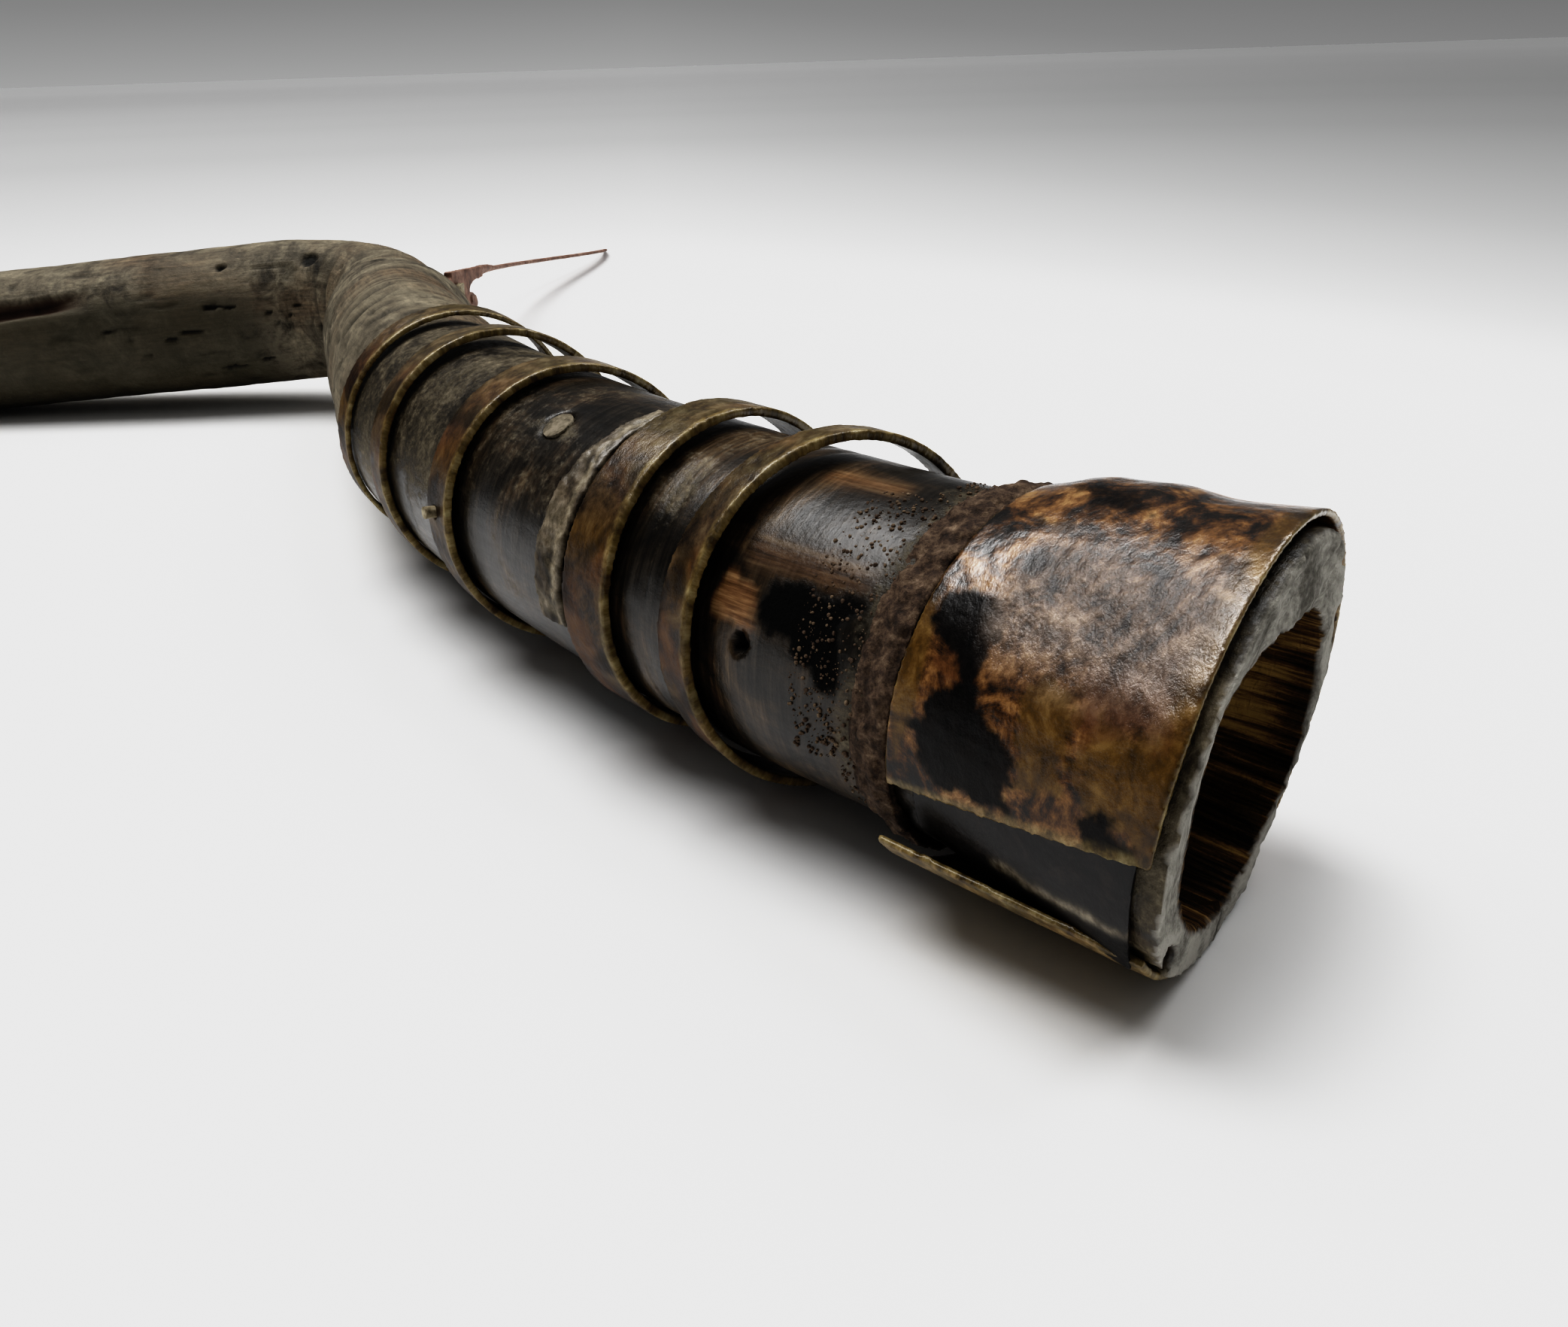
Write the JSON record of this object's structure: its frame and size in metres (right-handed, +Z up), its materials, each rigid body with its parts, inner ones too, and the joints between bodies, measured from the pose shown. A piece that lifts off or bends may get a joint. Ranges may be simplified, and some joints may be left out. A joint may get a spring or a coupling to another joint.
{
  "type": "hand scythe",
  "caption": "Hand scythe for grain: hollow wooden handle bound with horn hoops, bent wooden crook that gathers the stalks, and a thin curved iron blade.",
  "frame": {"origin": "on the table, below the middle of the object's box", "axes": "+Y the long way, from the handle's mouth towards the blade's point; +Z up from the table that the tool lies on; +X completes a right-handed set, with the arm of the crook towards -X"},
  "size_m": [0.4392, 0.5614, 0.0469],
  "materials": {
    "crook_wood": "weathered grey-brown, dull, cracked",
    "lacquered_wood": "old dark lacquer, worn to a gloss",
    "amber_horn": "polished mottled horn",
    "dark_horn": "worn semi-gloss horn with pale edges",
    "resin": "dull crusty resin",
    "peg_wood": "dry bare wood",
    "forged_iron": "brown rust patina, dull"
  },
  "bodies": {
    "root": {"handle_tube": "lacquered_wood", "crook": "crook_wood", "end_sleeve": "amber_horn", "sleeve_liner": "dark_horn", "resin_belt": "resin", "hoop_1": "dark_horn", "hoop_2": "dark_horn", "hoop_3": "dark_horn", "hoop_4": "dark_horn", "hoop_5": "dark_horn", "worn_hoop": "dark_horn", "tenon_peg": "peg_wood", "hoop_pin": "peg_wood", "blade": "forged_iron", "blade_rivet": "forged_iron", "tang_wedge": "peg_wood"}
  },
  "joints": []
}
